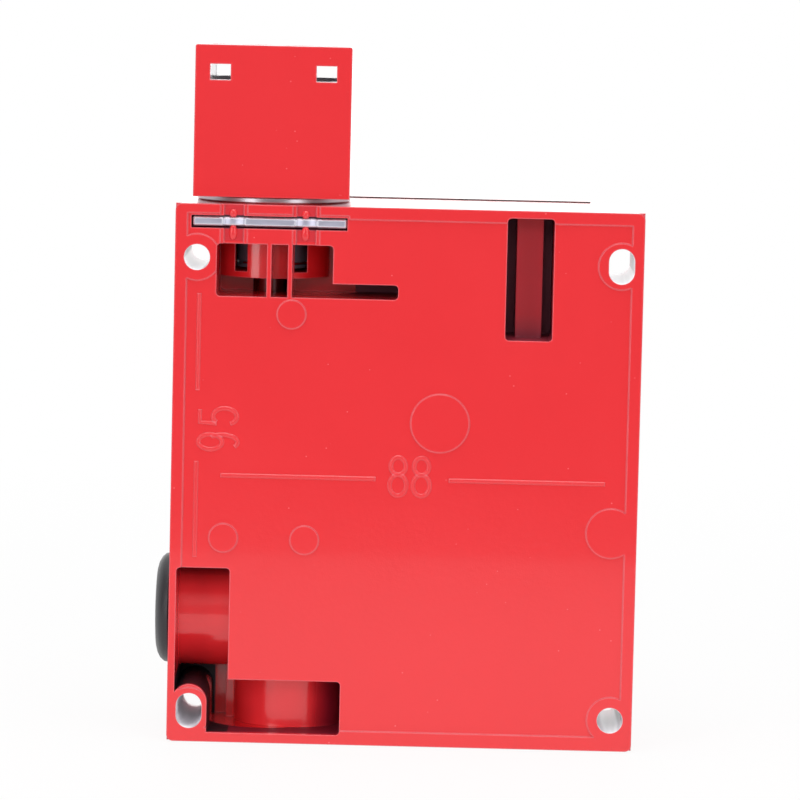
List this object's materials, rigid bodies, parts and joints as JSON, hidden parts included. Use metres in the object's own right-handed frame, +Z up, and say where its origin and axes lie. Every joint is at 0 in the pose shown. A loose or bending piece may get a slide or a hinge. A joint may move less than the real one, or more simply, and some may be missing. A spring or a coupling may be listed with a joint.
{
  "type": "tongue interlock switch",
  "caption": "Metal tongue interlock switch with a turret head, cam drum, plunger, contact block, locking solenoid and key release.",
  "frame": {"origin": "centre of the four fixing holes, on the rear contact plane", "axes": "+Z up towards the turret head, +Y out of the rear face towards the wall, +X to the right seen from the front"},
  "size_m": [0.1008, 0.0462, 0.1454],
  "materials": {
    "red_paint": "semi-gloss powder coat, very fine texture",
    "bright_steel": "bright plated steel",
    "chrome_ring": "polished ring",
    "zinc_steel": "zinc plated",
    "black_plastic": "black, satin",
    "white_plastic": "ivory, satin",
    "grey_plastic": "grey, satin",
    "black_rubber": "seal rubber",
    "brass": "plain brass",
    "copper": "enamelled copper winding",
    "silver": "silvered contact strip",
    "green_board": "printed board",
    "amber_lens": "clear coloured lens",
    "green_lens": "clear coloured lens",
    "lamp": "lamp body"
  },
  "bodies": {
    "switch": {"body_casting": "red_paint", "front_cover": "red_paint", "cover_gasket": "black_rubber", "cover_screws": "zinc_steel", "head_collar": "chrome_ring", "head_clip": "bright_steel", "return_spring": "zinc_steel", "latch_bracket": "zinc_steel", "solenoid_yoke": "zinc_steel", "coil_bobbin": "white_plastic", "solenoid_coil": "copper", "latch_spring": "zinc_steel", "contact_housing": "black_plastic", "contact_cover": "grey_plastic", "fixed_contacts": "silver", "terminal_screws": "zinc_steel", "inner_screws": "zinc_steel", "earth_washer": "brass", "earth_screw": "zinc_steel", "side_entry_plug": "black_plastic", "plug_seal": "black_rubber", "release_lock_barrel": "chrome_ring", "release_lock_nut": "zinc_steel", "pilot_lens_left": "amber_lens", "pilot_lens_right": "green_lens", "pilot_board": "green_board", "pilot_lamps": "lamp", "terminal_strip": "white_plastic", "strip_screws": "zinc_steel"},
    "head": {"head_casting": "red_paint", "drum_axle": "zinc_steel", "plunger_guide": "black_plastic"},
    "drum": {"cam_drum": "grey_plastic"},
    "plunger": {"head_plunger": "zinc_steel", "spring_washer": "zinc_steel"},
    "contact_carrier": {"contact_plunger": "white_plastic", "contact_bridges": "silver"},
    "latch": {"armature": "zinc_steel", "lock_latch": "zinc_steel", "latch_pin": "zinc_steel"},
    "release_key_way": {"release_rotor": "brass", "release_cam": "zinc_steel"}
  },
  "joints": [
    {"name": "head_turn", "type": "hinge", "parent": "switch", "child": "head", "pos_m": [0.029, -0.0195, 0.055], "axis": [0, 0, 1], "range_deg": [-180, 180]},
    {"name": "drum_turn", "type": "hinge", "parent": "head", "child": "drum", "pos_m": [0.029, -0.0195, 0.0765], "axis": [-1, 0, 0], "range_deg": [0, 60]},
    {"name": "plunger_slide", "type": "slide", "parent": "switch", "child": "plunger", "axis": [0, 0, 1], "range_m": [0, 0.005], "deforming": ["return_spring"]},
    {"name": "contact_slide", "type": "slide", "parent": "switch", "child": "contact_carrier", "axis": [0, 0, 1], "range_m": [0, 0.005]},
    {"name": "latch_slide", "type": "slide", "parent": "switch", "child": "latch", "axis": [1, 0, 0], "range_m": [0, 0.0042], "stiffness_N_per_m": 120, "deforming": ["latch_spring"]},
    {"name": "release_turn", "type": "hinge", "parent": "switch", "child": "release_key_way", "pos_m": [0.005, -0.044, -0.004], "axis": [0, -1, 0], "range_deg": [0, 90]}
  ],
  "couplings": [
    {"joint": "plunger_slide", "follows": "drum_turn", "m_per_rad": 0.0047746},
    {"joint": "contact_slide", "follows": "drum_turn", "m_per_rad": 0.0047746}
  ]
}
